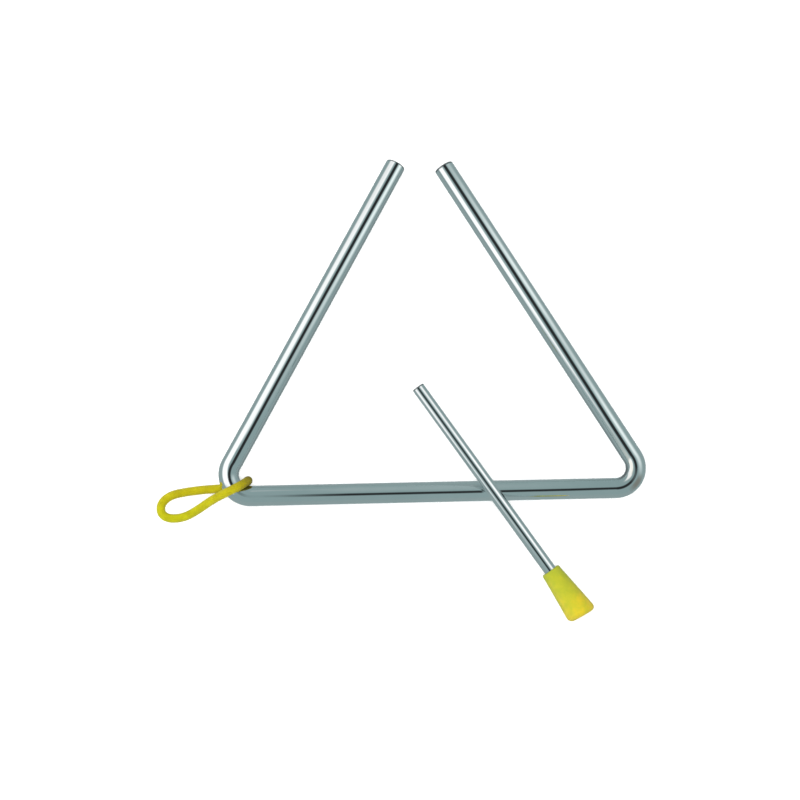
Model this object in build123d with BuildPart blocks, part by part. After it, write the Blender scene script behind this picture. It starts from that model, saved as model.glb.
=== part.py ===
from build123d import *
import math
import os

os.makedirs("parts", exist_ok=True)

# ---------------------------------------------------------------- driving dimensions, mm and degrees
# Sounding bar: one round bar bent into a triangle that stays open at its top corner.
side = 175.0  # side of the centre-line triangle, corner to corner
bar_d = 8.0  # bar diameter
bend_r = 8.5  # bend radius at the bar's centre line
leg_left = 156.3  # left leg, from its corner to the cut end
leg_right = 155.2  # right leg, from its corner to the cut end
bar_end_round = 0.6  # edge round on the two cut ends
lift = 3.6  # height that the cord under the left bend holds it up
base_y = -41.99  # the base bar's line, so that the origin is under the middle

# Hanging loop: one closed cord round the left bend.
cord_d = 3.0  # cord diameter
wrap_r = 6.1  # radius of the cord's centre line round the bar

# Beater: a rod pressed into a tapered grip, lying over the base bar.
rod_d = 5.0  # rod diameter
rod_end_round = 0.5  # edge round on the rod's ends
rod_out = 89.2  # rod showing, from its tip to the grip
grip_len = 21.9  # grip length
grip_d_small = 7.6  # grip diameter where the rod enters
grip_d_large = 12.1  # grip diameter at its big end, before the edge round
grip_small_round = 0.7  # edge round at the small end
grip_large_round = 1.9  # edge round at the big end
grip_skew = 6.0  # how far the big end is out of square
grip_floor = 4.0  # thickness of the grip's closed end
rod_seat = 0.3  # air left below the rod in the grip's bore
tip_x, tip_y, tip_z = -6.05, -1.80, 17.318  # middle of the rod's tip
heading = -55.585  # direction of the beater seen from above, tip to grip
pitch = 6.041  # how far the grip end points down

# ---------------------------------------------------------------- the triangle's own plane
# The right leg lies on the surface, and the plane is turned about that leg's line.
half = side / 2
height = side * math.sqrt(3) / 2
tilt = math.asin(lift / (height - bend_r))
s60, c60 = math.sin(math.radians(60)), math.cos(math.radians(60))
tri_plane = Plane(
    origin=(half, base_y, bar_d / 2),
    x_dir=(-c60, s60, 0),
    z_dir=(s60 * math.sin(tilt), c60 * math.sin(tilt), math.cos(tilt)),
)
right_corner = (0, 0)
left_corner = (half, height)
right_end = (leg_right, 0)
left_end = (half + leg_left * c60, height - leg_left * s60)

# ---------------------------------------------------------------- triangle_bar
with BuildPart() as triangle_bar:
    with BuildLine(tri_plane) as bar_line:
        FilletPolyline(right_end, right_corner, left_corner, left_end, radius=bend_r)
    with BuildSketch(Plane(origin=bar_line.wire() @ 0, z_dir=bar_line.wire() % 0)):
        Circle(bar_d / 2)
    sweep(path=bar_line.wire())
    cut_ends = triangle_bar.faces().filter_by(GeomType.PLANE)
    fillet(cut_ends.edges(), bar_end_round)
triangle_bar.part.label = "triangle_bar"

# ---------------------------------------------------------------- hanger_cord
# Points at the left bend: b runs into the corner, s along the bend's tangent, z up.
mid_z = bar_d / 2 + lift
mid = tri_plane.from_local_coords((half, height - bend_r, 0))
into = Vector(s60, c60, 0)
along = Vector(c60, -s60, 0)


def at_bend(b, s, z):
    return Vector(mid.X, mid.Y, 0) + into * b + along * s + Vector(0, 0, z)


low = cord_d / 2
hex_b = wrap_r * math.tan(math.radians(30))
hex_out = wrap_r / math.cos(math.radians(30))
top = mid_z + wrap_r
under_in = at_bend(hex_b, 0.9, mid_z - wrap_r)
under_out = at_bend(-7.0, -4.7, low)
joint = under_in + (under_out - under_in) * 0.36  # where the loop's two ends are fused, under the bar

# The loop from the fused joint outwards, round its free end, back up over the bar and down inside the bend.
outward = [
    joint,
    under_out,
    Vector(-97.4, base_y + 4.1, low),
    Vector(-104.2, base_y + 2.9, low),
    Vector(-108.2, base_y - 0.6, low),
    Vector(-108.0, base_y - 5.0, low),
    Vector(-104.8, base_y - 7.0, low),
]
back = [
    Vector(-99.4, base_y - 6.5, low),
    Vector(-94.6, base_y - 4.5, 3.5),
    Vector(-87.6, base_y - 0.9, 9.3),
    at_bend(-1.8, 1.3, top),
    at_bend(hex_b, 1.45, top),
    at_bend(hex_out, 1.1, mid_z),
    under_in,
    joint,
]
halfway = outward[-1] + (back[0] - outward[-1]) * 0.5
route = outward + back
wrap_corners = [at_bend(-1.8, 1.3, top), at_bend(hex_b, 1.45, top), at_bend(hex_out, 1.1, mid_z), under_in]


def corner_radius(i):
    before, after = route[i] - route[i - 1], route[i + 1] - route[i]
    turn = math.radians(before.get_angle(after))
    if any((route[i] - w).length < 1e-6 for w in wrap_corners):
        return 5.8  # round the bar, the arc is the bar's size
    return 0.45 * min(before.length, after.length) / math.tan(turn / 2)


radii = [corner_radius(i) for i in range(1, len(route) - 1)]
n_out = len(outward) - 1
with BuildPart() as hanger_cord:
    with BuildLine() as cord_out:
        FilletPolyline(*outward, halfway, radius=radii[:n_out])
    with BuildSketch(Plane(origin=cord_out.wire() @ 0, z_dir=cord_out.wire() % 0)):
        Circle(cord_d / 2)
    sweep(path=cord_out.wire())
    with BuildLine() as cord_back:
        FilletPolyline(halfway, *back, radius=radii[n_out:])
    with BuildSketch(Plane(origin=cord_back.wire() @ 0, z_dir=cord_back.wire() % 0)):
        Circle(cord_d / 2)
    sweep(path=cord_back.wire())
hanger_cord.part.label = "hanger_cord"

# ---------------------------------------------------------------- beater
ch, sh = math.cos(math.radians(heading)), math.sin(math.radians(heading))
cp, sp = math.cos(math.radians(pitch)), math.sin(math.radians(pitch))
tip = Vector(tip_x, tip_y, tip_z)
axis_dir = Vector(ch * cp, sh * cp, -sp)
side_dir = Vector(sh, -ch, 0)  # level, square to the beater
rod_plane = Plane(origin=tip, x_dir=side_dir, z_dir=axis_dir)
profile_plane = Plane(origin=tip, x_dir=axis_dir, z_dir=side_dir)
bore_end = rod_out + grip_len - grip_floor
rod_len = bore_end - rod_seat

with BuildPart() as beater_rod:
    with BuildSketch(rod_plane):
        Circle(rod_d / 2)
    extrude(amount=rod_len)
    fillet(beater_rod.faces().filter_by(GeomType.PLANE).edges(), rod_end_round)
beater_rod.part.label = "beater_rod"

with BuildPart() as beater_grip:
    with BuildSketch(profile_plane):
        with BuildLine():
            Polyline(
                (rod_out, rod_d / 2),
                (rod_out, grip_d_small / 2),
                (rod_out + 1.2 * grip_len, grip_d_small / 2 + 0.6 * (grip_d_large - grip_d_small)),
                (rod_out + 1.2 * grip_len, 0),
                (bore_end, 0),
                (bore_end, rod_d / 2),
                close=True,
            )
        make_face()
    revolve(axis=Axis(tip, axis_dir))
    cut_dir = axis_dir + side_dir * math.tan(math.radians(grip_skew))
    with BuildSketch(Plane(origin=tip + axis_dir * (rod_out + grip_len), z_dir=cut_dir)):
        Circle(grip_d_large)
    extrude(amount=grip_d_large, mode=Mode.SUBTRACT)
    big_end = beater_grip.faces().filter_by(GeomType.PLANE).sort_by(Axis(tip, axis_dir))[-1]
    fillet(big_end.edges(), grip_large_round)
    mouth = beater_grip.faces().filter_by(GeomType.PLANE).sort_by(Axis(tip, axis_dir))[0]
    fillet(mouth.edges().sort_by(SortBy.RADIUS)[-1], grip_small_round)
beater_grip.part.label = "beater_grip"

# ---------------------------------------------------------------- write and report
for piece in (triangle_bar, hanger_cord, beater_rod, beater_grip):
    export_step(piece.part, "parts/" + piece.part.label + ".step")
    box = piece.part.bounding_box()
    print(piece.part.label, "volume", round(piece.part.volume, 1), tuple(round(v, 3) for v in box.min), tuple(round(v, 3) for v in box.max))

length = cord_out.wire().length + cord_back.wire().length
section = math.pi * cord_d**2 / 4
print("cord length", round(length, 2), "section x length", round(section * length, 1), "volume", round(hanger_cord.part.volume, 1))
print("cord radii", [round(r, 2) for r in radii])
print("cord turns", [round((route[i] - route[i - 1]).get_angle(route[i + 1] - route[i]), 1) for i in range(1, len(route) - 1)])
print("cord runs", [round((route[i + 1] - route[i]).length, 2) for i in range(len(route) - 1)])
print("bend middle", tuple(round(v, 4) for v in mid), "hinge axis along", tuple(round(v, 5) for v in along))
for name, p in (("left end", left_end), ("right end", right_end), ("left corner", left_corner), ("right corner", right_corner)):
    print(name, tuple(round(v, 4) for v in tri_plane.from_local_coords((p[0], p[1], 0))))
print("cord route", [tuple(round(v, 3) for v in p) for p in route])
gap_cord_bar = triangle_bar.part.distance_to(hanger_cord.part)
gap_rod_bar = triangle_bar.part.distance_to(beater_rod.part)
gap_grip_bar = triangle_bar.part.distance_to(beater_grip.part)
print("gaps: cord-bar", round(gap_cord_bar, 3), "rod-bar", round(gap_rod_bar, 3), "grip-bar", round(gap_grip_bar, 3))
both = triangle_bar.part.bounding_box().add(beater_grip.part.bounding_box()).add(beater_rod.part.bounding_box())
print("box without cord", tuple(round(v, 3) for v in both.min), tuple(round(v, 3) for v in both.max), "middle", tuple(round(v, 3) for v in both.center()))
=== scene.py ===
"""Triangle with its hanging loop and beater: detailed pieces, finishes, light and camera, in metres, in the frame of the CAD."""

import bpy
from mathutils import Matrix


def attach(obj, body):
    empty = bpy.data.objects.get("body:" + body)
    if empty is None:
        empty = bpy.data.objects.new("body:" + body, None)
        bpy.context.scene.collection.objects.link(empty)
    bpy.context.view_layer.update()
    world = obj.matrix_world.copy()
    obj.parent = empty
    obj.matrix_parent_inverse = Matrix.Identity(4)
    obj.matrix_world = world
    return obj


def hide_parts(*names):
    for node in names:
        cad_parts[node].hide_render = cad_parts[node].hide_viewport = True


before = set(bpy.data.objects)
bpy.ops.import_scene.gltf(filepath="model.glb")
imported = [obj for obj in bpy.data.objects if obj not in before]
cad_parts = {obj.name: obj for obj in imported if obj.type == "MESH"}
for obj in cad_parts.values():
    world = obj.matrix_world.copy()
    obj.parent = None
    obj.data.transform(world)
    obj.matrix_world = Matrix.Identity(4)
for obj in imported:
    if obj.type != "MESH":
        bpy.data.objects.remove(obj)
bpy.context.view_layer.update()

import math

import bpy
import numpy as np
from mathutils import Matrix, Vector

scene = bpy.context.scene

# ---------------------------------------------------------------- camera

azimuth, elevation, roll = (math.radians(a) for a in (-24.6276, 76.4031, 22.6813))
target = Vector((-0.0115305, -0.0031377, 0.0))
back = Vector(
    (
        math.sin(azimuth) * math.cos(elevation),
        -math.cos(azimuth) * math.cos(elevation),
        math.sin(elevation),
    )
)
level = (-back).cross(Vector((0, 0, 1))).normalized()
upward = level.cross(-back)
image_right = level * math.cos(roll) + upward * math.sin(roll)
image_up = upward * math.cos(roll) - level * math.sin(roll)

camera = bpy.data.objects.new("camera", bpy.data.cameras.new("camera"))
scene.collection.objects.link(camera)
camera.data.sensor_width = 36.0
camera.data.lens = 146.505
camera.data.clip_start, camera.data.clip_end = 0.05, 20.0
camera.matrix_world = Matrix.Translation(target + back * 1.3) @ (
    Matrix((image_right, image_up, back)).transposed().to_4x4()
)
scene.camera = camera


# ---------------------------------------------------------------- meshes


def mesh_piece(name, verts, faces, uvs=None, which=None, materials=()):
    """One smooth-shaded object. uvs holds a pair for each face corner, which a material number for each face."""
    mesh = bpy.data.meshes.new(name)
    mesh.from_pydata([tuple(v) for v in verts], [], faces)
    mesh.polygons.foreach_set("use_smooth", [True] * len(mesh.polygons))
    for material in materials:
        mesh.materials.append(material)
    if which is not None:
        mesh.polygons.foreach_set("material_index", which)
    if uvs is not None:
        layer = mesh.uv_layers.new(name="lay")
        layer.data.foreach_set("uv", np.asarray(uvs, dtype=np.float32).ravel())
    mesh.update()
    obj = bpy.data.objects.new(name, mesh)
    scene.collection.objects.link(obj)
    return obj


class Rings:
    """A skin through rings of equal count, closed at each end by a fan. along is each ring's distance on the surface, for the UVs."""

    def __init__(self, segments):
        self.segments = segments
        self.verts, self.faces, self.uvs, self.which = [], [], [], []
        self.last, self.last_along = None, None

    def start(self, point, along):
        self.verts.append(point)
        self.last, self.last_along = [len(self.verts) - 1], along

    def ring(self, points, along, round_, material=0):
        n = self.segments
        first = len(self.verts)
        self.verts.extend(points)
        now = list(range(first, first + n))
        if self.last is not None:
            for i in range(n):
                j = (i + 1) % n
                va, vb = round_ * i / n, round_ * (i + 1) / n
                if len(self.last) == 1:
                    self.faces.append((self.last[0], now[j], now[i]))
                    self.uvs += [
                        (self.last_along, (va + vb) / 2),
                        (along, vb),
                        (along, va),
                    ]
                else:
                    self.faces.append((self.last[i], self.last[j], now[j], now[i]))
                    self.uvs += [
                        (self.last_along, va),
                        (self.last_along, vb),
                        (along, vb),
                        (along, va),
                    ]
                self.which.append(material)
        self.last, self.last_along = now, along

    def close(self, point, along, round_, material=0):
        n = self.segments
        self.verts.append(point)
        tip = len(self.verts) - 1
        for i in range(n):
            j = (i + 1) % n
            va, vb = round_ * i / n, round_ * (i + 1) / n
            self.faces.append((self.last[i], self.last[j], tip))
            self.uvs += [
                (self.last_along, va),
                (self.last_along, vb),
                (along, (va + vb) / 2),
            ]
            self.which.append(material)


def across(direction, hint):
    """Two unit vectors square to direction and to each other, the first nearest hint."""
    u = (hint - direction * direction.dot(hint)).normalized()
    return u, direction.cross(u)


# ---------------------------------------------------------------- materials


def new_material(name):
    material = bpy.data.materials.new(name)
    material.use_nodes = True
    tree = material.node_tree
    tree.nodes.clear()
    out = tree.nodes.new("ShaderNodeOutputMaterial")
    shader = tree.nodes.new("ShaderNodeBsdfPrincipled")
    tree.links.new(shader.outputs["BSDF"], out.inputs["Surface"])
    return material, tree, shader


def node(tree, kind, **settings):
    made = tree.nodes.new(kind)
    for key, value in settings.items():
        setattr(made, key, value)
    return made


def laid(tree, scale):
    """UV coordinates, in metres along and around the piece, times scale."""
    uv = node(tree, "ShaderNodeUVMap", uv_map="lay")
    mapping = node(tree, "ShaderNodeMapping")
    mapping.inputs["Scale"].default_value = scale
    tree.links.new(uv.outputs["UV"], mapping.inputs["Vector"])
    return mapping.outputs["Vector"]


def placed(tree, scale):
    """Object coordinates times scale."""
    where = node(tree, "ShaderNodeTexCoord")
    mapping = node(tree, "ShaderNodeMapping")
    mapping.inputs["Scale"].default_value = scale
    tree.links.new(where.outputs["Object"], mapping.inputs["Vector"])
    return mapping.outputs["Vector"]


def noise(tree, vector, scale, detail=2.0, rough=0.5):
    made = node(tree, "ShaderNodeTexNoise")
    made.inputs["Scale"].default_value = scale
    made.inputs["Detail"].default_value = detail
    made.inputs["Roughness"].default_value = rough
    tree.links.new(vector, made.inputs["Vector"])
    return made.outputs["Fac"]


def ramp(tree, value, *stops):
    made = node(tree, "ShaderNodeValToRGB")
    elements = made.color_ramp.elements
    while len(elements) < len(stops):
        elements.new(0.5)
    for element, (position, colour) in zip(elements, stops):
        element.position = position
        element.color = (*colour, 1.0)
    tree.links.new(value, made.inputs["Fac"])
    return made.outputs["Color"]


def spread(tree, value, low, high, to_low, to_high):
    made = node(tree, "ShaderNodeMapRange")
    for key, number in (
        ("From Min", low),
        ("From Max", high),
        ("To Min", to_low),
        ("To Max", to_high),
    ):
        made.inputs[key].default_value = number
    tree.links.new(value, made.inputs["Value"])
    return made.outputs["Result"]


def joined(tree, kind, a, b):
    made = node(tree, "ShaderNodeMath", operation=kind)
    for socket, value in zip(made.inputs, (a, b)):
        if isinstance(value, (int, float)):
            socket.default_value = value
        else:
            tree.links.new(value, socket)
    return made.outputs["Value"]


def bumped(tree, height, distance, strength=1.0, under=None):
    made = node(tree, "ShaderNodeBump")
    made.inputs["Strength"].default_value = strength
    made.inputs["Distance"].default_value = distance
    tree.links.new(height, made.inputs["Height"])
    if under is not None:
        tree.links.new(under, made.inputs["Normal"])
    return made.outputs["Normal"]


def chrome(name, cool, smooth):
    """Polished plating: faint draw lines along the bar, slow waviness, and handling haze in patches."""
    material, tree, shader = new_material(name)
    shader.inputs["Metallic"].default_value = 1.0
    haze = noise(tree, placed(tree, (1, 1, 1)), 55.0, 4.0, 0.6)
    lines = noise(tree, laid(tree, (12, 2600, 1)), 1.0, 2.0, 0.5)
    waves = noise(tree, laid(tree, (70, 150, 1)), 1.0, 1.0, 0.5)
    tree.links.new(
        ramp(tree, haze, (0.3, cool[0]), (0.7, cool[1])), shader.inputs["Base Color"]
    )
    dull = spread(tree, haze, 0.35, 0.75, smooth[0], smooth[1])
    streak = spread(tree, lines, 0.3, 0.7, -0.015, 0.015)
    tree.links.new(joined(tree, "ADD", dull, streak), shader.inputs["Roughness"])
    slow = bumped(tree, waves, 0.00003)
    tree.links.new(bumped(tree, lines, 0.0000006, 1.0, slow), shader.inputs["Normal"])
    return material


def cut_steel(name):
    """A sawn end with its edge broken: duller and darker than the plating, with turning rings."""
    material, tree, shader = new_material(name)
    shader.inputs["Metallic"].default_value = 1.0
    rings = noise(tree, laid(tree, (9000, 30, 1)), 1.0, 2.0, 0.6)
    patches = noise(tree, placed(tree, (1, 1, 1)), 900.0, 3.0, 0.6)
    tree.links.new(
        ramp(
            tree,
            patches,
            (0.3, (0.19, 0.20, 0.205)),
            (0.7, (0.34, 0.35, 0.355)),
        ),
        shader.inputs["Base Color"],
    )
    tree.links.new(
        spread(tree, rings, 0.3, 0.7, 0.26, 0.42), shader.inputs["Roughness"]
    )
    tree.links.new(bumped(tree, rings, 0.000008), shader.inputs["Normal"])
    return material


# ---------------------------------------------------------------- hanging loop

# The closed loop's route: out from under the bend, round the end of the loop, back over the bar, down inside the bend and under it again.
ROUTE = (
    (-0.080989, -0.037565, 0.0018),
    (-0.088612, -0.037677, 0.00175),
    (-0.097462, -0.038501, 0.00175),
    (-0.104103, -0.039714, 0.00175),
    (-0.107974, -0.042916, 0.00175),
    (-0.108121, -0.047107, 0.00175),
    (-0.104943, -0.049186, 0.00175),
    (-0.099451, -0.048888, 0.00175),
    (-0.094573, -0.046890, 0.0035),
    (-0.087650, -0.043201, 0.00968),
    (-0.081031, -0.040756, 0.01358),
    (-0.075703, -0.038109, 0.01330),
    (-0.072910, -0.035295, 0.00807),
    (-0.076254, -0.037469, 0.00136),
    (-0.080989, -0.037565, 0.0018),
)


def smooth_line(route):
    """Points along a NURBS spline that has the route's points as its control points."""
    curve = bpy.data.curves.new("cord_line", "CURVE")
    curve.dimensions = "3D"
    curve.resolution_u = 48
    spline = curve.splines.new("NURBS")
    spline.points.add(len(route) - 1)
    for point, place in zip(spline.points, route):
        point.co = (*place, 1.0)
    spline.order_u = 3
    spline.use_endpoint_u = True
    holder = bpy.data.objects.new("cord_line", curve)
    mesh = bpy.data.meshes.new_from_object(holder)
    points = np.array([tuple(v.co) for v in mesh.vertices])
    bpy.data.meshes.remove(mesh)
    bpy.data.objects.remove(holder)
    bpy.data.curves.remove(curve)
    return points


line = smooth_line(ROUTE)
steps = np.linalg.norm(np.diff(line, axis=0), axis=1)
keep = np.concatenate([[True], steps > 1e-9])
line = line[keep]
gone = np.concatenate([[0.0], np.cumsum(np.linalg.norm(np.diff(line, axis=0), axis=1))])
cord_length = float(gone[-1])


def along_loop(count):
    """count places evenly spaced round the closed loop, each with a frame that closes on itself."""
    s = np.arange(count) * cord_length / count
    at = np.stack([np.interp(s, gone, line[:, k]) for k in range(3)], 1)
    ahead = np.roll(at, -1, 0) - np.roll(at, 1, 0)
    ahead /= np.linalg.norm(ahead, axis=1)[:, None]
    u = np.zeros_like(at)
    u[0] = np.cross(ahead[0], (0.0, 1.0, 0.0))
    u[0] /= np.linalg.norm(u[0])

    def carried(v, t):
        v = v - t * np.dot(v, t)
        return v / np.linalg.norm(v)

    for i in range(1, count):
        u[i] = carried(u[i - 1], ahead[i])
    end = carried(u[-1], ahead[0])
    miss = math.atan2(np.dot(np.cross(u[0], end), ahead[0]), np.dot(u[0], end))
    v = np.cross(ahead, u)
    turn = (-miss * np.arange(count) / count)[:, None]
    return (
        s,
        at,
        u * np.cos(turn) + v * np.sin(turn),
        v * np.cos(turn) - u * np.sin(turn),
    )


def braid_material():
    """Dyed fibre: fine filaments along each strand, uneven dye that is greener at the loop's free end, and painted
    shade: a darker olive patch where the loop bears on the bar.
    """
    material, tree, shader = new_material("cord_yellow_braid")
    shader.inputs["Specular IOR Level"].default_value = 0.15
    shader.inputs["Sheen Weight"].default_value = 0.06
    shader.inputs["Sheen Roughness"].default_value = 0.5
    fibres = noise(tree, laid(tree, (900, 30000, 1)), 1.0, 2.0, 0.6)
    dye = noise(tree, placed(tree, (1, 1, 1)), 260.0, 3.0, 0.6)
    mixed = joined(
        tree, "ADD", joined(tree, "MULTIPLY", fibres, 0.55), joined(tree, "MULTIPLY", dye, 0.45)
    )
    # Painted shade: the colour is darkened in a patch round the place where the loop wraps the inside of the bend.
    away = node(tree, "ShaderNodeVectorMath", operation="DISTANCE")
    away.inputs[1].default_value = (-0.0742, -0.0366, 0.0090)
    tree.links.new(placed(tree, (1, 1, 1)), away.inputs[0])
    painted_shade_patch = spread(tree, away.outputs["Value"], 0.002, 0.0090, 0.32, 0.0)
    dye_less_painted_shade = joined(tree, "SUBTRACT", mixed, painted_shade_patch)
    split = node(tree, "ShaderNodeSeparateXYZ")
    tree.links.new(placed(tree, (1, 1, 1)), split.inputs["Vector"])
    fresh = node(tree, "ShaderNodeMix", data_type="RGBA")
    tree.links.new(
        spread(tree, split.outputs["Y"], -0.0490, -0.0395, 0.5, 0.0), fresh.inputs["Factor"]
    )
    tree.links.new(
        ramp(
            tree,
            dye_less_painted_shade,
            (0.10, (0.140, 0.108, 0.006)),
            (0.30, (0.295, 0.248, 0.004)),
            (0.50, (0.430, 0.375, 0.005)),
            (0.74, (0.600, 0.545, 0.009)),
        ),
        fresh.inputs[6],
    )
    tree.links.new(
        ramp(
            tree,
            dye_less_painted_shade,
            (0.10, (0.140, 0.125, 0.005)),
            (0.30, (0.295, 0.300, 0.003)),
            (0.50, (0.425, 0.452, 0.003)),
            (0.74, (0.590, 0.645, 0.006)),
        ),
        fresh.inputs[7],
    )
    tree.links.new(fresh.outputs[2], shader.inputs["Base Color"])
    tree.links.new(
        spread(tree, fibres, 0.3, 0.7, 0.48, 0.70), shader.inputs["Roughness"]
    )
    tree.links.new(bumped(tree, fibres, 0.00004), shader.inputs["Normal"])
    return material


def core_material():
    material, tree, shader = new_material("cord_yellow_core")
    shader.inputs["Specular IOR Level"].default_value = 0.1
    dye = noise(tree, placed(tree, (1, 1, 1)), 900.0, 2.0, 0.6)
    tree.links.new(
        ramp(tree, dye, (0.3, (0.24, 0.19, 0.003)), (0.7, (0.34, 0.28, 0.004))),
        shader.inputs["Base Color"],
    )
    tree.links.new(spread(tree, dye, 0.3, 0.7, 0.7, 0.9), shader.inputs["Roughness"])
    return material


def braided_cord():
    """A sixteen-strand diamond braid round a soft core: eight strands each way, over one and under one, closed on itself."""
    each_way, turns = 8, 10
    radius, weave = 0.00146, 0.00009
    half_wide, half_thick = 0.00044, 0.00019
    count, sides = 820, 7
    s, at, u, v = along_loop(count)
    phase = 2 * math.pi * turns * s / cord_length
    verts, faces, uvs, which = [], [], [], []
    ring = 2 * math.pi * np.arange(sides) / sides

    def skin(centres, wide, thick, half_w, half_t, run, first_v, material):
        base = len(verts)
        n = len(ring) if material == 0 else 16
        angles = ring if material == 0 else 2 * math.pi * np.arange(16) / 16
        body = (
            centres[:, None, :]
            + half_w * np.cos(angles)[None, :, None] * wide[:, None, :]
            + half_t * np.sin(angles)[None, :, None] * thick[:, None, :]
        )
        verts.extend(body.reshape(-1, 3).tolist())
        step = 2 * math.pi * max(half_w, half_t) / n
        for i in range(len(centres)):
            nxt = (i + 1) % len(centres)
            run_next = run[i] + run[1]
            for k in range(n):
                l = (k + 1) % n
                faces.append(
                    (
                        base + i * n + k,
                        base + i * n + l,
                        base + nxt * n + l,
                        base + nxt * n + k,
                    )
                )
                va, vb = first_v + k * step, first_v + (k + 1) * step
                uvs.extend(
                    ((run[i], va), (run[i], vb), (run_next, vb), (run_next, va))
                )
                which.append(material)

    for way in (1, -1):
        for i in range(each_way):
            angle = way * phase + 2 * math.pi * i / each_way
            r = radius + way * weave * np.cos(each_way * phase)
            out = u * np.cos(angle)[:, None] + v * np.sin(angle)[:, None]
            centres = at + out * r[:, None]
            ahead = np.roll(centres, -1, 0) - np.roll(centres, 1, 0)
            ahead /= np.linalg.norm(ahead, axis=1)[:, None]
            thick = out - ahead * (out * ahead).sum(1)[:, None]
            thick /= np.linalg.norm(thick, axis=1)[:, None]
            wide = np.cross(thick, ahead)
            length = np.linalg.norm(np.roll(centres, -1, 0) - centres, axis=1).sum()
            run = np.arange(count) * length / count
            skin(centres, wide, thick, half_wide, half_thick, run, 0.01 * i + 0.1 * way, 0)
    few = slice(None, None, 4)
    skin(at[few], u[few], v[few], 0.00138, 0.00138, s[few], 0.0, 1)
    return mesh_piece(
        "hanger_cord_braid",
        verts,
        faces,
        uvs,
        which,
        (braid_material(), core_material()),
    )


cord = braided_cord()
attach(cord, "hanger")
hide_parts("hanger_cord")

# ---------------------------------------------------------------- sounding bar

BAR, BEND, BAR_EDGE = 0.004, 0.0085, 0.0006
LEFT_END = Vector((-0.0093456, 0.0933723, 0.0044075))
LEFT_CORNER = Vector((-0.0874584, -0.041966, 0.0078139))
RIGHT_CORNER = Vector((0.0875, -0.04199, 0.004))
RIGHT_END = Vector((0.0099, 0.0924171, 0.004))
BAR_ROUND = 2 * math.pi * BAR

bar_chrome = chrome(
    "bar_chrome_plate", ((0.80, 0.825, 0.83), (0.86, 0.875, 0.88)), (0.045, 0.095)
)
bar_cut = cut_steel("bar_cut_end")


def bend_at(before, corner, after, radius, count):
    """(place, heading) pairs round a bend between two straight runs."""
    a, b = (before - corner).normalized(), (after - corner).normalized()
    half = a.angle(b) / 2
    centre = corner + (a + b).normalized() * (radius / math.sin(half))
    first = corner + a * (radius / math.tan(half))
    x = (first - centre) / radius
    y = -a
    sweep = math.pi - 2 * half
    found = []
    for i in range(count + 1):
        f = sweep * i / count
        found.append(
            (
                centre + (x * math.cos(f) + y * math.sin(f)) * radius,
                y * math.cos(f) - x * math.sin(f),
            )
        )
    return found


def round_end(rings, place, outward, u, v, radius, edge, along, opening):
    """The sawn face and broken edge of a round bar, from the middle of the face to the full radius if opening, or the other way."""
    round_ = 2 * math.pi * radius
    turn = [2 * math.pi * i / rings.segments for i in range(rings.segments)]

    def circle(depth, r):
        return [
            place
            - outward * depth
            + u * (r * math.cos(f))
            + v * (r * math.sin(f))
            for f in turn
        ]

    flat = radius - edge
    profile = [(0.0, flat * k / 6, flat * k / 6) for k in range(1, 7)]
    profile += [
        (
            edge * (1 - math.cos(a)),
            flat + edge * math.sin(a),
            flat + edge * a,
        )
        for a in (math.pi / 2 * k / 8 for k in range(1, 9))
    ]
    whole = profile[-1][2]
    if opening:
        rings.start(place, along - whole)
        for depth, r, run in profile:
            rings.ring(circle(depth, r), along - whole + run, round_, 1)
    else:
        for depth, r, run in reversed(profile):
            rings.ring(circle(depth, r), along + whole - run, round_, 1)
        rings.close(place, along + whole, round_, 1)


def sounding_bar():
    rings = Rings(96)
    square = (LEFT_CORNER - LEFT_END).cross(RIGHT_CORNER - LEFT_CORNER).normalized()
    turn = [2 * math.pi * i / 96 for i in range(96)]
    spots = []
    for corner, before, after in (
        (LEFT_CORNER, LEFT_END, RIGHT_CORNER),
        (RIGHT_CORNER, LEFT_CORNER, RIGHT_END),
    ):
        spots.append(bend_at(before, corner, after, BEND, 56))
    first = (LEFT_CORNER - LEFT_END).normalized()
    last = (RIGHT_END - RIGHT_CORNER).normalized()
    stations = [
        (LEFT_END + first * BAR_EDGE, first),
        (LEFT_END + first * (BAR_EDGE + 0.0002), first),
    ]
    for group in spots:
        start = stations[-1][0]
        run = group[0][0] - start
        parts = max(2, int(run.length / 0.004))
        stations += [
            (start + run * (k / parts), run.normalized()) for k in range(1, parts)
        ]
        stations += group
    start = stations[-1][0]
    run = RIGHT_END - last * (BAR_EDGE + 0.0002) - start
    parts = max(2, int(run.length / 0.004))
    stations += [(start + run * (k / parts), last) for k in range(1, parts + 1)]

    along = 0.0
    u, v = across(first, square)
    round_end(rings, LEFT_END, -first, u, v, BAR, BAR_EDGE, along, True)
    for i, (place, heading) in enumerate(stations):
        if i:
            along += (place - stations[i - 1][0]).length
        u, v = across(heading, square)
        if i:
            rings.ring(
                [
                    place + u * (BAR * math.cos(f)) + v * (BAR * math.sin(f))
                    for f in turn
                ],
                along,
                BAR_ROUND,
                0,
            )
    u, v = across(last, square)
    round_end(rings, RIGHT_END, last, u, v, BAR, BAR_EDGE, along + 0.0002, False)
    return mesh_piece(
        "triangle_bar_plated",
        rings.verts,
        rings.faces,
        rings.uvs,
        rings.which,
        (bar_chrome, bar_cut),
    )


bar = sounding_bar()
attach(bar, "triangle")
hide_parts("triangle_bar")

# ---------------------------------------------------------------- beater

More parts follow.
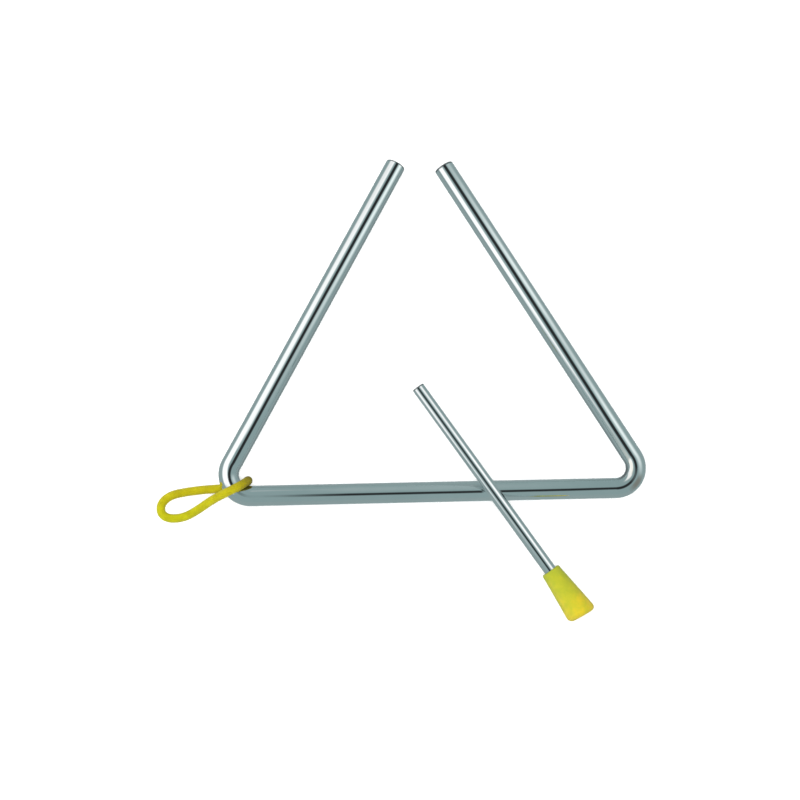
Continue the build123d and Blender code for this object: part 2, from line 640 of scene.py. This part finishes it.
ROD, ROD_EDGE, ROD_OUT, ROD_LENGTH = 0.0025, 0.0005, 0.0892, 0.1068
GRIP_LENGTH, GRIP_FLOOR = 0.0219, 0.004
GRIP_SMALL, GRIP_LARGE = 0.0038, 0.00605
GRIP_SMALL_ROUND, GRIP_LARGE_ROUND, GRIP_SKEW = 0.0007, 0.0019, math.radians(6.0)
TIP = Vector((-0.00605, -0.0018, 0.017318))
heading, pitch = math.radians(-55.585), math.radians(6.041)
beater_axis = Vector(
    (
        math.cos(heading) * math.cos(pitch),
        math.sin(heading) * math.cos(pitch),
        -math.sin(pitch),
    )
)
beater_side = Vector((math.sin(heading), -math.cos(heading), 0.0))
beater_top = beater_side.cross(beater_axis)

rod_chrome = chrome(
    "rod_chrome_plate", ((0.80, 0.82, 0.825), (0.86, 0.875, 0.88)), (0.05, 0.10)
)
rod_cut = cut_steel("rod_cut_end")


def beater_rod():
    rings = Rings(72)
    u, v = across(beater_axis, beater_top)
    round_end(rings, TIP, -beater_axis, u, v, ROD, ROD_EDGE, 0.0, True)
    turn = [2 * math.pi * i / 72 for i in range(72)]
    parts = 28
    body = ROD_LENGTH - 2 * ROD_EDGE
    runs = [0.0002] + [body * k / parts for k in range(1, parts)] + [body - 0.0002]
    for along in runs:
        place = TIP + beater_axis * (ROD_EDGE + along)
        rings.ring(
            [place + u * (ROD * math.cos(f)) + v * (ROD * math.sin(f)) for f in turn],
            along,
            2 * math.pi * ROD,
            0,
        )
    round_end(
        rings,
        TIP + beater_axis * ROD_LENGTH,
        beater_axis,
        u,
        v,
        ROD,
        ROD_EDGE,
        body,
        False,
    )
    return mesh_piece(
        "beater_rod_plated",
        rings.verts,
        rings.faces,
        rings.uvs,
        rings.which,
        (rod_chrome, rod_cut),
    )


rod = beater_rod()
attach(rod, "beater")
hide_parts("beater_rod")


def grip_material():
    """Moulded plastic with a fine spark texture and random mottle; painted light and shade: the colour goes from a
    darker lime at the mouth to a brighter gold at the thick end.
    """
    material, tree, shader = new_material("grip_yellow_moulded")
    shader.inputs["Specular IOR Level"].default_value = 0.35
    shader.inputs["Subsurface Weight"].default_value = 0.12
    shader.inputs["Subsurface Radius"].default_value = (0.8, 0.7, 0.1)
    shader.inputs["Subsurface Scale"].default_value = 0.0012
    lay = node(tree, "ShaderNodeUVMap", uv_map="lay")
    split = node(tree, "ShaderNodeSeparateXYZ")
    tree.links.new(lay.outputs["UV"], split.inputs["Vector"])
    cloud = noise(tree, placed(tree, (1, 1, 1)), 170.0, 3.0, 0.55)
    mottle = noise(tree, placed(tree, (1, 1, 1)), 480.0, 2.0, 0.5)
    grain = noise(tree, placed(tree, (1, 1, 1)), 5200.0, 2.0, 0.5)
    # Painted light and shade along the grip: darker and lime at the mouth, brighter and gold at the thick end.
    depth = spread(tree, split.outputs["X"], 0.0, 0.024, 0.0, 1.0)
    patches = joined(
        tree,
        "ADD",
        spread(tree, cloud, 0.3, 0.7, -0.2, 0.2),
        spread(tree, mottle, 0.3, 0.7, -0.16, 0.16),
    )
    mottle_and_painted_light = joined(tree, "ADD", depth, patches)
    tree.links.new(
        ramp(
            tree,
            mottle_and_painted_light,
            (0.10, (0.390, 0.425, 0.025)),
            (0.52, (0.480, 0.465, 0.024)),
            (0.95, (0.640, 0.505, 0.0215)),
        ),
        shader.inputs["Base Color"],
    )
    tree.links.new(
        spread(tree, grain, 0.3, 0.7, 0.36, 0.52), shader.inputs["Roughness"]
    )
    tree.links.new(bumped(tree, grain, 0.00002), shader.inputs["Normal"])
    return material


def beater_grip():
    """The tapered sleeve: a soft bead at the mouth, a straight taper, a rounded big end moulded out of square, two parting lines and a gate mark."""
    segments = 120
    rings = Rings(segments)
    turn = [-2 * math.pi * i / segments for i in range(segments)]
    start = ROD_OUT
    slope = (GRIP_LARGE - GRIP_SMALL) / GRIP_LENGTH
    seam = [math.exp(-((math.sin(f) / 0.05) ** 2)) for f in turn]

    def circle(t, r, proud=0.0, skewed=True):
        """A ring at distance t from the mouth; towards the big end the rings lean with the skewed face."""
        lean = max(0.0, t / GRIP_LENGTH) ** 2 if skewed else 0.0
        points = []
        for f, s in zip(turn, seam):
            rr = r + proud * s
            side = rr * math.cos(f)
            points.append(
                TIP
                + beater_axis
                * (start + t - math.tan(GRIP_SKEW) * side * lean)
                + beater_side * side
                + beater_top * (rr * math.sin(f))
            )
        return points

    round_ = 2 * math.pi * 0.005
    bore = ROD + 0.00001
    depth = GRIP_LENGTH - GRIP_FLOOR
    along = -0.004
    rings.start(TIP + beater_axis * (start + depth), along - depth)
    for k in range(1, 4):
        rings.ring(circle(depth, bore * k / 3, 0, False), along - depth, round_)
    for k in range(7, -1, -1):
        rings.ring(circle(0.0003 + (depth - 0.0003) * k / 8, bore, 0, False), along - depth * k / 8, round_)
    # The mouth: a small chamfer, a flat ring and a rounded bead.
    rings.ring(circle(0.0, bore + 0.0003, 0, False), along + 0.0005, round_)
    bead = 0.00012
    corner = GRIP_SMALL + bead - GRIP_SMALL_ROUND
    for k in range(0, 11):
        a = math.pi / 2 * k / 10
        rings.ring(
            circle(
                GRIP_SMALL_ROUND * (1 - math.cos(a)),
                corner + GRIP_SMALL_ROUND * math.sin(a),
                0.0,
                False,
            ),
            -0.001 + 0.001 * k / 10,
            round_,
        )
    # The taper, down off the bead and out to the big end.
    big = GRIP_LARGE_ROUND
    flank = math.atan(slope)
    t_first = GRIP_SMALL_ROUND
    # A rounded edge tangent to the taper and to the end face.
    r_at = lambda t: GRIP_SMALL + slope * t
    edge_t = GRIP_LENGTH - big
    edge_r = r_at(edge_t) - big / math.cos(flank)
    join_t = edge_t - big * math.sin(flank)
    parts = 44
    for k in range(1, parts + 1):
        t = t_first + (join_t - t_first) * k / parts
        fade = max(0.0, 1.0 - (t - t_first) / 0.0011)
        swell = bead * fade * fade * (3 - 2 * fade)
        proud = 0.00005 * min(1.0, (t - t_first) / 0.001)
        rings.ring(circle(t, r_at(t) + swell, proud), t, round_)
    for k in range(1, 17):
        a = -flank + (math.pi / 2 + flank) * k / 16
        t = edge_t + big * math.sin(a)
        r = edge_r + big * math.cos(a)
        proud = 0.00005 * (1 - k / 16)
        rings.ring(circle(t, r, proud), join_t + big * (a + flank), round_)
    # The end face dishes a little, with a gate mark in the middle.
    flat = edge_r
    tail = join_t + big * (math.pi / 2 + flank)
    for f, sink in ((0.8, 0.00004), (0.6, 0.0001), (0.4, 0.00013), (0.24, 0.00014)):
        rings.ring(circle(GRIP_LENGTH - sink, flat * f), tail + flat * (1 - f), round_)
    for r, sink in ((0.00085, 0.00016), (0.0008, 0.00034), (0.0006, 0.00038), (0.0003, 0.00036)):
        rings.ring(circle(GRIP_LENGTH - sink, r), tail + flat - r, round_)
    rings.close(TIP + beater_axis * (start + GRIP_LENGTH - 0.00036), tail + flat, round_)
    return mesh_piece(
        "beater_grip_moulded",
        rings.verts,
        rings.faces,
        rings.uvs,
        rings.which,
        (grip_material(),),
    )


grip = beater_grip()
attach(grip, "beater")
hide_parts("beater_grip")

# ---------------------------------------------------------------- floor and light


def emission_tree(material):
    material.use_nodes = True
    tree = material.node_tree
    tree.nodes.clear()
    out = tree.nodes.new("ShaderNodeOutputMaterial")
    return tree, out


def floor():
    """A pale floor. Polished metal sees it as a dim grey sweep, as in a tent."""
    size = 4.0
    obj = mesh_piece(
        "floor",
        [(-size, -size, 0), (size, -size, 0), (size, size, 0), (-size, size, 0)],
        [(0, 1, 2, 3)],
    )
    material = bpy.data.materials.new("floor_pale")
    tree, out = emission_tree(material)
    path = node(tree, "ShaderNodeLightPath")
    pale = node(tree, "ShaderNodeBsdfDiffuse")
    pale.inputs["Color"].default_value = (0.90, 0.90, 0.90, 1.0)
    sweep = node(tree, "ShaderNodeEmission")
    sweep.inputs["Color"].default_value = (0.290, 0.377, 0.380, 1.0)
    mix = node(tree, "ShaderNodeMixShader")
    glow = node(tree, "ShaderNodeEmission")
    glow.inputs["Color"].default_value = (0.22, 0.22, 0.22, 1.0)
    both = node(tree, "ShaderNodeAddShader")
    tree.links.new(pale.outputs["BSDF"], both.inputs[0])
    tree.links.new(glow.outputs["Emission"], both.inputs[1])
    tree.links.new(path.outputs["Is Glossy Ray"], mix.inputs["Fac"])
    tree.links.new(both.outputs["Shader"], mix.inputs[1])
    tree.links.new(sweep.outputs["Emission"], mix.inputs[2])
    tree.links.new(mix.outputs["Shader"], out.inputs["Surface"])
    obj.data.materials.append(material)
    obj.location.z = -0.00002
    return obj


def facing(azimuth, elevation, turn=0.0):
    """The direction to a card, and its two edges, turned about that direction. Angles in degrees."""
    a, e, f = (math.radians(x) for x in (azimuth, elevation, turn))
    towards = Vector((math.cos(e) * math.cos(a), math.cos(e) * math.sin(a), math.sin(e)))
    flat = Vector((-math.sin(a), math.cos(a), 0.0))
    tall = towards.cross(flat)
    return (
        towards,
        flat * math.cos(f) + tall * math.sin(f),
        tall * math.cos(f) - flat * math.sin(f),
    )


def shown(tree, out, amount, strength, colour):
    """An even glow where amount is 1, and nothing where it is 0."""
    light = node(tree, "ShaderNodeEmission")
    light.inputs["Color"].default_value = (*colour, 1.0)
    light.inputs["Strength"].default_value = strength
    clear = node(tree, "ShaderNodeBsdfTransparent")
    mix = node(tree, "ShaderNodeMixShader")
    tree.links.new(amount, mix.inputs["Fac"])
    tree.links.new(clear.outputs["BSDF"], mix.inputs[1])
    tree.links.new(light.outputs["Emission"], mix.inputs[2])
    tree.links.new(mix.outputs["Shader"], out.inputs["Surface"])


def card(name, centre, edges, halves, strength, colour, fade):
    """A soft card that only reflections and light see, fading to nothing at its edges. fade is the share of each half side that fades."""
    (u, v), (wide, tall) = edges, halves
    obj = mesh_piece(
        name,
        [
            centre + u * (wide * i) + v * (tall * j)
            for i, j in ((-1, -1), (1, -1), (1, 1), (-1, 1))
        ],
        [(0, 1, 2, 3)],
        [(0, 0), (1, 0), (1, 1), (0, 1)],
    )
    material = bpy.data.materials.new(name)
    tree, out = emission_tree(material)
    uv = node(tree, "ShaderNodeUVMap", uv_map="lay")
    split = node(tree, "ShaderNodeSeparateXYZ")
    tree.links.new(uv.outputs["UV"], split.inputs["Vector"])
    sides = []
    for axis, share in zip("XY", fade):
        middle = joined(tree, "SUBTRACT", split.outputs[axis], 0.5)
        edge = joined(tree, "SUBTRACT", 0.5, joined(tree, "ABSOLUTE", middle, 0.0))
        made = node(tree, "ShaderNodeMapRange", interpolation_type="SMOOTHSTEP")
        made.inputs["From Max"].default_value = share / 2
        tree.links.new(edge, made.inputs["Value"])
        sides.append(made.outputs["Result"])
    path = node(tree, "ShaderNodeLightPath")
    once = joined(tree, "LESS_THAN", path.outputs["Glossy Depth"], 1.5)
    amount = joined(tree, "MULTIPLY", joined(tree, "MULTIPLY", *sides), once)
    shown(tree, out, amount, strength, colour)
    obj.data.materials.append(material)
    obj.visible_camera = False
    obj.visible_shadow = False
    return obj


# Soft boxes round the table, at a compass direction and height, and a turn about the line to the middle.
for name, where, distance, halves, strength, colour in (
    ("box_left_back", (165.09, 34.88, 7.32), 0.3013, (0.2546, 0.1824), 1.178, (1.0, 1.02, 1.02)),
    ("box_left_front", (215.32, 17.36, -17.49), 1.3428, (0.1143, 0.5159), 0.989, (1.0, 1.05, 1.05)),
    ("box_back", (121.83, 29.99, 36.21), 0.9680, (0.2613, 0.6936), 0.979, (1.0, 1.01, 1.005)),
):
    towards, u, v = facing(*where)
    card(name, towards * distance, (u, v), halves, strength, colour, (0.50, 0.50))

# Painted reflections: narrow dark and glowing strips a few millimetres over the bars, laid along the camera's sight
# lines as each bar mirrors them, so that each bar shows its own as dark lines and highlights along it, and not its
# neighbours'.
EYE = target + back * 1.3
STRIP_OUT, STRIP_REACH = 0.004, 0.0062


def mirrored(place, heading, radius, at):
    """Where a line of sight goes once a round bar mirrors it, at this share of the bar's half width."""
    sight = (EYE - place).normalized()
    front = (sight - heading * sight.dot(heading)).normalized()
    normal = front * math.sqrt(1 - at * at) + heading.cross(front) * at
    spot = place + normal * radius
    inward = (spot - EYE).normalized()
    return spot + (inward - normal * (2 * inward.dot(normal))) * STRIP_OUT


def strip(name, radius, edge, strength, colour, stations):
    """stations holds a place, a heading, the middle and half width of the line there as shares of the bar's half width, and how solid it is. edge is the width of its soft edge."""
    lanes = 10
    verts, uvs_at, faces = [], [], []
    for place, heading, middle, half, solid in stations:
        reach = half + edge / 2
        for j in range(lanes + 1):
            aside = reach * (2 * j / lanes - 1)
            at = max(-0.985, min(0.985, middle + aside))
            verts.append(mirrored(place, heading, radius, at))
            uvs_at.append((min(1.0, (reach - abs(aside)) / edge), solid))
    for i in range(len(stations) - 1):
        k = i * (lanes + 1)
        faces += [
            (k + j, k + j + 1, k + j + lanes + 2, k + j + lanes + 1) for j in range(lanes)
        ]
    obj = mesh_piece(name, verts, faces, [uvs_at[k] for face in faces for k in face])
    material = bpy.data.materials.new(name)
    tree, out = emission_tree(material)
    uv = node(tree, "ShaderNodeUVMap", uv_map="lay")
    split = node(tree, "ShaderNodeSeparateXYZ")
    tree.links.new(uv.outputs["UV"], split.inputs["Vector"])
    soft = node(tree, "ShaderNodeMapRange", interpolation_type="SMOOTHSTEP")
    tree.links.new(split.outputs["X"], soft.inputs["Value"])
    amount = joined(tree, "MULTIPLY", soft.outputs["Result"], split.outputs["Y"])
    path = node(tree, "ShaderNodeLightPath")
    near = joined(tree, "LESS_THAN", path.outputs["Ray Length"], STRIP_REACH)
    amount = joined(tree, "MULTIPLY", amount, near)
    shown(tree, out, amount, strength, colour)
    obj.data.materials.append(material)
    obj.visible_camera = False
    obj.visible_shadow = False
    obj.visible_diffuse = False


def along_run(start, end, first, last, count, middle, half, solid):
    """Stations of a straight run between two shares of it. middle and solid are tables of shares and values."""
    heading = ((end - start) * (last - first)).normalized()
    found = []
    for i in range(count + 1):
        f = first + (last - first) * i / count
        found.append(
            (
                start + (end - start) * f,
                heading,
                float(np.interp(f, *middle)),
                half,
                float(np.interp(f, *solid)),
            )
        )
    return found


def along_bend(before, corner, after, middle, half, solid):
    found = bend_at(before, corner, after, BEND, 40)
    return [
        (
            place,
            heading,
            float(np.interp(i / 40, *middle)),
            half,
            float(np.interp(i / 40, *solid)),
        )
        for i, (place, heading) in enumerate(found)
    ]


# Colours of the painted reflection lines: dark, white and mint.
DARK, LIT, MINT = (1.0, 1.15, 1.2), (1.0, 1.02, 1.02), (0.93, 1.03, 1.02)
EVEN = ((0.0, 1.0), (1.0, 1.0))
ROD_FOOT = TIP + beater_axis * ROD_OUT
strip(
    "dark_bar", BAR, 0.12, 0.02, DARK,
    along_run(
        LEFT_CORNER, LEFT_END, 1.09, 0.098, 48,
        ((0.10, 0.20, 0.40, 0.60, 0.80, 0.95), (-0.10, -0.09, -0.05, -0.05, -0.05, -0.075)),
        0.135, EVEN,
    )
    + along_bend(
        LEFT_END, LEFT_CORNER, RIGHT_CORNER,
        ((0.0, 0.5, 1.0), (-0.10, -0.05, 0.06)),
        0.13, ((0.50, 0.65, 0.80, 0.90, 1.0), (1.0, 0.5, 0.35, 0.12, 0.06)),
    )
    + along_run(
        LEFT_CORNER, RIGHT_CORNER, 0.088, 0.912, 200,
        ((0.08, 0.20, 0.80, 0.92), (0.06, 0.07, 0.07, 0.03)),
        0.11,
        (
            (0.10, 0.15, 0.20, 0.25, 0.30, 0.604, 0.609, 0.637, 0.642),
            (0.05, 0.25, 0.60, 0.85, 1.0, 1.0, 0.0, 0.0, 1.0),
        ),
    )
    + along_bend(
        LEFT_CORNER, RIGHT_CORNER, RIGHT_END,
        ((0.0, 0.5, 1.0), (0.03, 0.06, 0.0)),
        0.125, ((0.30, 0.40, 0.50, 0.60, 0.70), (1.0, 0.80, 0.75, 0.85, 1.0)),
    )
    + along_run(
        RIGHT_CORNER, RIGHT_END, 0.098, 1.09, 48,
        ((0.10, 0.20, 0.30, 0.50, 0.70, 0.95), (-0.01, 0.00, 0.05, 0.10, 0.15, 0.15)),
        0.14, EVEN,
    ),
)
strip(
    "lit_left", BAR, 0.26, 1.08, MINT,
    along_run(
        LEFT_CORNER, LEFT_END, 1.09, 0.098, 48,
        ((0.30, 0.50, 0.70, 0.95), (-0.36, -0.36, -0.39, -0.44)),
        0.14, ((0.22, 0.40, 0.60, 0.80, 0.95), (0.0, 0.24, 0.58, 0.90, 1.0)),
    )
    + along_bend(
        LEFT_END, LEFT_CORNER, RIGHT_CORNER, ((0.0, 1.0), (-0.42, -0.42)), 0.14,
        ((0.26, 0.38, 0.46, 0.60), (0.0, 0.45, 0.45, 0.0)),
    ),
)
strip(
    "grey_left", BAR, 0.20, 1.0, (0.27, 0.37, 0.375),
    along_run(
        LEFT_CORNER, LEFT_END, 1.09, 0.098, 48, ((0.0, 1.0), (0.74, 0.74)), 0.08,
        ((0.10, 0.22), (0.0, 1.0)),
    ),
)
strip(
    "lit_left_edge", BAR, 0.20, 1.12, LIT,
    along_run(
        LEFT_CORNER, LEFT_END, 1.09, 0.13, 48,
        ((0.10, 0.20, 0.40, 0.60, 0.80, 0.95), (0.24, 0.24, 0.29, 0.33, 0.31, 0.31)),
        0.08, ((0.12, 0.20, 0.70, 0.95), (0.0, 0.95, 0.85, 0.75)),
    ),
)
strip(
    "dark_inner", BAR, 0.20, 0.11, DARK,
    along_run(
        LEFT_CORNER, LEFT_END, 1.09, 0.098, 48, ((0.0, 1.0), (-0.95, -0.95)), 0.10,
        ((0.0, 1.0), (0.50, 0.42)),
    )
    + along_bend(
        LEFT_END, LEFT_CORNER, RIGHT_CORNER, ((0.0, 1.0), (-0.95, -0.95)), 0.10,
        ((0.0, 0.40, 0.60), (0.50, 0.55, 0.0)),
    )
    + along_bend(
        LEFT_CORNER, RIGHT_CORNER, RIGHT_END, ((0.0, 1.0), (-0.93, -0.93)), 0.14,
        ((0.0, 0.15, 0.30, 0.60, 1.0), (0.0, 0.70, 0.90, 0.85, 0.50)),
    )
    + along_run(
        RIGHT_CORNER, RIGHT_END, 0.098, 0.60, 24, ((0.0, 1.0), (-0.94, -0.94)), 0.12,
        ((0.10, 0.30, 0.55), (0.50, 0.25, 0.0)),
    ),
)
strip(
    "warm_bend", BAR, 0.30, 0.205, (1.0, 0.98, 0.84),
    along_bend(
        LEFT_CORNER, RIGHT_CORNER, RIGHT_END, ((0.0, 1.0), (0.58, 0.58)), 0.22,
        ((0.20, 0.34, 0.46, 0.60), (0.0, 0.85, 0.85, 0.0)),
    ),
)
strip(
    "lit_base", BAR, 0.30, 1.0, LIT,
    along_run(
        LEFT_CORNER, RIGHT_CORNER, 0.20, 0.912, 160, ((0.0, 1.0), (-0.42, -0.42)), 0.20,
        (
            (0.20, 0.30, 0.604, 0.609, 0.637, 0.642, 0.85),
            (0.0, 0.085, 0.085, 0.0, 0.0, 0.06, 0.0),
        ),
    ),
)
strip(
    "lit_right", BAR, 0.26, 1.0, MINT,
    along_bend(
        LEFT_CORNER, RIGHT_CORNER, RIGHT_END,
        ((0.0, 0.5, 1.0), (0.50, 0.50, 0.42)),
        0.155, ((0.42, 0.50, 0.60, 0.70, 0.80, 1.0), (0.0, 0.06, 0.24, 0.48, 0.72, 0.90)),
    )
    + along_run(
        RIGHT_CORNER, RIGHT_END, 0.098, 1.09, 48,
        ((0.10, 0.20, 0.30, 0.50, 0.95), (0.42, 0.43, 0.47, 0.52, 0.52)),
        0.155,
        (
            (0.10, 0.20, 0.30, 0.40, 0.50, 0.60, 0.70, 0.80, 0.90, 0.97),
            (0.90, 0.98, 0.68, 0.52, 0.74, 0.94, 0.88, 0.70, 0.46, 0.34),
        ),
    ),
)
strip(
    "cream_bend", BAR, 0.24, 1.12, (1.0, 0.965, 0.87),
    along_bend(
        LEFT_CORNER, RIGHT_CORNER, RIGHT_END,
        ((0.0, 0.5, 1.0), (-0.40, -0.42, -0.42)),
        0.12,
        (
            (0.10, 0.20, 0.30, 0.40, 0.50, 0.60, 0.80, 0.90, 1.0),
            (0.0, 0.04, 0.14, 0.26, 0.72, 1.0, 1.0, 0.62, 0.36),
        ),
    )
    + along_run(
        RIGHT_CORNER, RIGHT_END, 0.098, 0.30, 16, ((0.0, 1.0), (-0.42, -0.42)), 0.12,
        ((0.10, 0.15, 0.26), (0.36, 0.14, 0.0)),
    ),
)
strip(
    "dark_rod", ROD, 0.14, 0.02, DARK,
    along_run(TIP, ROD_FOOT, -0.08, 1.03, 40, ((0.0, 1.0), (0.05, 0.07)), 0.12, EVEN),
)
strip(
    "lit_rod_right", ROD, 0.16, 1.12, LIT,
    along_run(
        TIP, ROD_FOOT, -0.08, 1.03, 40, ((0.0, 1.0), (-0.41, -0.40)), 0.16,
        ((0.0, 0.25, 0.40, 0.85, 1.0), (0.84, 0.84, 1.0, 1.0, 0.88)),
    ),
)
strip(
    "lit_rod_left", ROD, 0.22, 1.05, LIT,
    along_run(
        TIP, ROD_FOOT, -0.08, 1.03, 40, ((0.0, 1.0), (0.48, 0.44)), 0.15,
        ((0.12, 0.20, 0.30, 0.42, 0.60, 0.80, 1.0), (1.0, 0.70, 0.15, 0.0, 0.07, 0.12, 0.05)),
    ),
)

floor()


def soft_light(name, place, aim, size, power):
    light = bpy.data.lights.new(name, "AREA")
    light.shape = "DISK"
    light.size = size
    light.energy = power
    obj = bpy.data.objects.new(name, light)
    scene.collection.objects.link(obj)
    obj.location = place
    obj.rotation_mode = "QUATERNION"
    obj.rotation_quaternion = (Vector(aim) - Vector(place)).to_track_quat("-Z", "Y")
    obj.visible_glossy = False
    obj.visible_camera = False
    return obj


soft_light("key", target + back * 1.6, target, 0.45, 21.0)

world = bpy.data.worlds.new("studio")
world.use_nodes = True
tree = world.node_tree
tree.nodes.clear()
out = tree.nodes.new("ShaderNodeOutputWorld")
path = node(tree, "ShaderNodeLightPath")
seen = node(tree, "ShaderNodeBackground")
seen.inputs["Color"].default_value = (0.92, 0.92, 0.92, 1.0)
felt = node(tree, "ShaderNodeBackground")
felt.inputs["Color"].default_value = (0.270, 0.373, 0.377, 1.0)
around = node(tree, "ShaderNodeBackground")
around.inputs["Color"].default_value = (0.42, 0.42, 0.42, 1.0)
mirrors = node(tree, "ShaderNodeMixShader")
tree.links.new(path.outputs["Is Glossy Ray"], mirrors.inputs["Fac"])
tree.links.new(around.outputs["Background"], mirrors.inputs[1])
tree.links.new(felt.outputs["Background"], mirrors.inputs[2])
mix = node(tree, "ShaderNodeMixShader")
tree.links.new(path.outputs["Is Camera Ray"], mix.inputs["Fac"])
tree.links.new(mirrors.outputs["Shader"], mix.inputs[1])
tree.links.new(seen.outputs["Background"], mix.inputs[2])
tree.links.new(mix.outputs["Shader"], out.inputs["Surface"])
scene.world = world

scene.view_settings.view_transform = "Standard"
scene.view_settings.look = "None"
